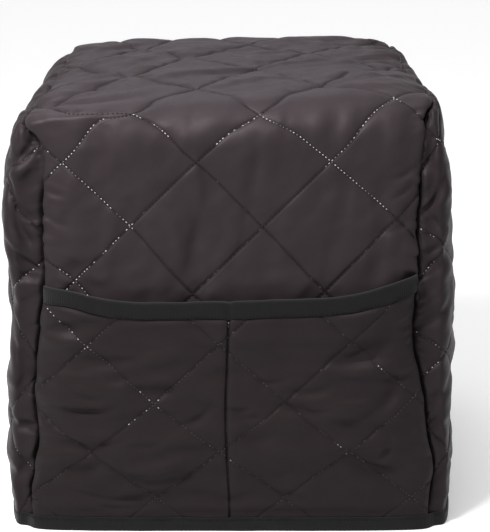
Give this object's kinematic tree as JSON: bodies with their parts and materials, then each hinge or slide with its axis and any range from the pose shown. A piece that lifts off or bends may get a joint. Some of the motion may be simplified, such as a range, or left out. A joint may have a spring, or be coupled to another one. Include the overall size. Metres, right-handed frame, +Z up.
{
  "type": "coffee machine cover",
  "caption": "Box-shaped quilted fabric cover for a counter-top coffee machine, open at the hem, with a divided front pocket and taped edges.",
  "frame": {"origin": "middle of the outline seen from above, on the surface that the hem stands on", "axes": "+Z up, -Y out of the front with the pocket, +X to the viewer's right"},
  "size_m": [0.388, 0.3436, 0.3783],
  "materials": {
    "quilted_cloth": "soft, slightly shiny woven polyester, quilted in large diamonds with pale stitches",
    "pocket_cloth": "the same cloth, lying flatter on the lower front",
    "binding_tape": "matt ribbed binding tape, nearly black"
  },
  "bodies": {
    "root": {"body_strip": "quilted_cloth", "side_left": "quilted_cloth", "side_right": "quilted_cloth", "pocket": "pocket_cloth", "pocket_binding": "binding_tape", "hem_binding": "binding_tape"}
  },
  "joints": []
}
